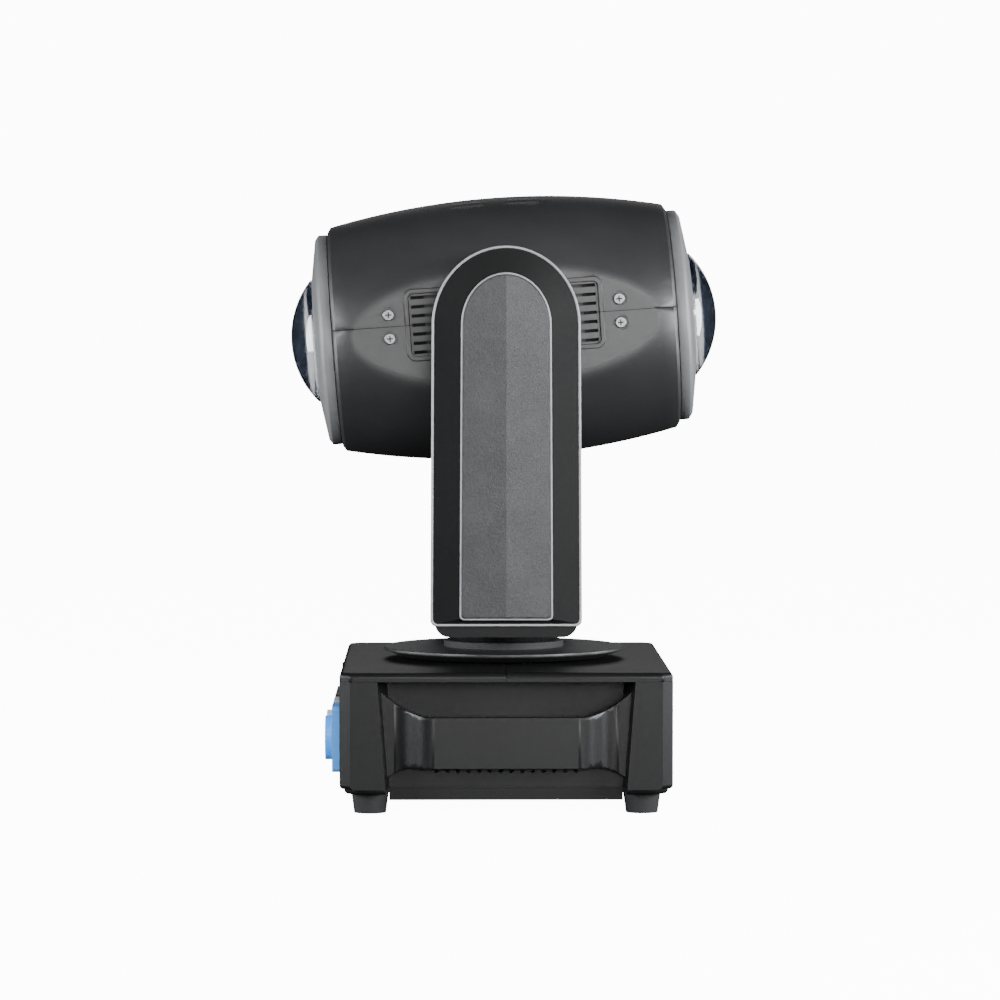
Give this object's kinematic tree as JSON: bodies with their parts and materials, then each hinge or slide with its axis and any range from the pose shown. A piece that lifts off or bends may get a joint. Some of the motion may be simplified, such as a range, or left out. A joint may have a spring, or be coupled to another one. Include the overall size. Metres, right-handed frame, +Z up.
{
  "type": "moving head light",
  "caption": "Compact moving head stage light with a domed lens at each end of its barrel head, a two-arm yoke that tilts and pans, and a base with carrying bars.",
  "frame": {"origin": "on the pan axis, in the plane that the four feet stand on", "axes": "+Z up along the pan axis, +X towards the display side, -X towards the connectors, +Y along the tilt axis towards the left arm"},
  "size_m": [0.2056, 0.196, 0.2899],
  "materials": {
    "base_plate_paint": "fine powder coat",
    "foot_rubber": "matt",
    "base_plastic": "satin, fine grain",
    "handle_plastic": "satin",
    "panel_paint": "satin",
    "display_glass": "clear over black",
    "button_plastic": "satin",
    "inlet_blue": "satin",
    "outlet_grey": "satin",
    "connector_metal": "satin",
    "fuse_plastic": "satin",
    "supply_case": "folded sheet",
    "circuit_board": "solder mask",
    "screw_steel": "bright",
    "bearing_steel": "ground",
    "motor_steel": "black lacquer",
    "pulley_metal": "turned",
    "belt_rubber": "ribbed",
    "shaft_steel": "turned",
    "disc_plastic": "satin",
    "seal_rubber": "semi-gloss",
    "frame_metal": "folded plate",
    "chassis_black": "black",
    "yoke_plastic": "satin",
    "arm_band_plastic": "semi-gloss",
    "arm_panel_plastic": "fine mottled grain",
    "head_plastic": "fine spark-eroded grain",
    "bezel_plastic": "satin",
    "lens_glass": "polished, coated",
    "heat_sink_metal": "extruded",
    "led_board": "white solder mask",
    "fan_plastic": "moulded",
    "wheel_metal": "sheet",
    "carriage_plastic": "moulded"
  },
  "bodies": {
    "base": {"base_tray": "base_plate_paint", "rubber_feet": "foot_rubber", "base_cover_front": "base_plastic", "base_cover_rear": "base_plastic", "side_panel_right": "base_plastic", "side_panel_left": "base_plastic", "handle_right": "handle_plastic", "handle_left": "handle_plastic", "front_panel": "panel_paint", "display_window": "display_glass", "rear_panel": "panel_paint", "power_inlet": "inlet_blue", "power_outlet": "outlet_grey", "data_connectors": "connector_metal", "fuse_holder": "fuse_plastic", "power_supply": "supply_case", "control_board": "circuit_board", "base_screws": "screw_steel", "pan_bearing": "bearing_steel", "pan_motor": "motor_steel", "pan_belt": "belt_rubber"},
    "yoke": {"pan_shaft": "shaft_steel", "pan_pulley": "pulley_metal", "pan_disc": "disc_plastic", "neck_seal": "seal_rubber", "yoke_frame": "frame_metal", "yoke_cover": "yoke_plastic", "arm_shell_right": "yoke_plastic", "arm_shell_left": "yoke_plastic", "arm_cover_right": "arm_band_plastic", "arm_cover_left": "arm_band_plastic", "arm_panel_right": "arm_panel_plastic", "arm_panel_left": "arm_panel_plastic", "arm_screws": "screw_steel", "tilt_motor": "motor_steel", "tilt_belt": "belt_rubber", "tilt_bearings": "bearing_steel"},
    "head": {"head_cover_top": "head_plastic", "head_cover_bottom": "head_plastic", "head_screws": "screw_steel", "bezel_front": "bezel_plastic", "bezel_rear": "bezel_plastic", "dome_lenses": "lens_glass", "head_chassis": "chassis_black", "tilt_shafts": "shaft_steel", "tilt_pulley": "pulley_metal", "heat_sink": "heat_sink_metal", "led_modules": "led_board", "fan_frame": "fan_plastic", "wheel_motors": "motor_steel"},
    "pan_motor_pulley": {"pan_motor_pulley": "pulley_metal"},
    "menu_button": {"menu_button": "button_plastic"},
    "up_button": {"up_button": "button_plastic"},
    "down_button": {"down_button": "button_plastic"},
    "enter_button": {"enter_button": "button_plastic"},
    "tilt_motor_pulley": {"tilt_motor_pulley": "pulley_metal"},
    "fan_rotor": {"fan_rotor": "fan_plastic"},
    "colour_wheel": {"colour_wheel": "wheel_metal"},
    "gobo_wheel": {"gobo_wheel": "wheel_metal"},
    "focus_carriage": {"focus_carriage": "carriage_plastic"}
  },
  "joints": [
    {"name": "pan", "type": "hinge", "parent": "base", "child": "yoke", "pos_m": [0, 0, 0.072], "axis": [0, 0, 1], "range_deg": [-270, 270]},
    {"name": "tilt", "type": "hinge", "parent": "yoke", "child": "head", "pos_m": [0, 0, 0.2262], "axis": [0, -1, 0], "range_deg": [-49.1, 220.9]},
    {"name": "pan_motor_turn", "type": "hinge", "parent": "base", "child": "pan_motor_pulley", "pos_m": [0.038, -0.038, 0.05], "axis": [0, 0, 1], "continuous": true},
    {"name": "tilt_motor_turn", "type": "hinge", "parent": "yoke", "child": "tilt_motor_pulley", "pos_m": [0, -0.0755, 0.1016], "axis": [0, -1, 0], "continuous": true},
    {"name": "fan_turn", "type": "hinge", "parent": "head", "child": "fan_rotor", "pos_m": [-0.00229, 0, 0.25812], "axis": [-0.0715, 0, 0.9974], "continuous": true},
    {"name": "colour_wheel_turn", "type": "hinge", "parent": "head", "child": "colour_wheel", "pos_m": [0.04325, 0, 0.21025], "axis": [0.9974, 0, 0.0715], "continuous": true},
    {"name": "gobo_wheel_turn", "type": "hinge", "parent": "head", "child": "gobo_wheel", "pos_m": [0.06447, 0, 0.24987], "axis": [0.9974, 0, 0.0715], "continuous": true},
    {"name": "focus_slide", "type": "slide", "parent": "head", "child": "focus_carriage", "axis": [0.9974, 0, 0.0715], "range_m": [0, 0.008]},
    {"name": "menu_button_press", "type": "slide", "parent": "base", "child": "menu_button", "axis": [-1, 0, 0], "range_m": [0, 0.001], "stiffness_N_per_m": 400},
    {"name": "up_button_press", "type": "slide", "parent": "base", "child": "up_button", "axis": [-1, 0, 0], "range_m": [0, 0.001], "stiffness_N_per_m": 400},
    {"name": "down_button_press", "type": "slide", "parent": "base", "child": "down_button", "axis": [-1, 0, 0], "range_m": [0, 0.001], "stiffness_N_per_m": 400},
    {"name": "enter_button_press", "type": "slide", "parent": "base", "child": "enter_button", "axis": [-1, 0, 0], "range_m": [0, 0.001], "stiffness_N_per_m": 400}
  ],
  "couplings": [
    {"joint": "pan_motor_turn", "follows": "pan", "ratio": 4},
    {"joint": "tilt_motor_turn", "follows": "tilt", "ratio": 2.875}
  ]
}
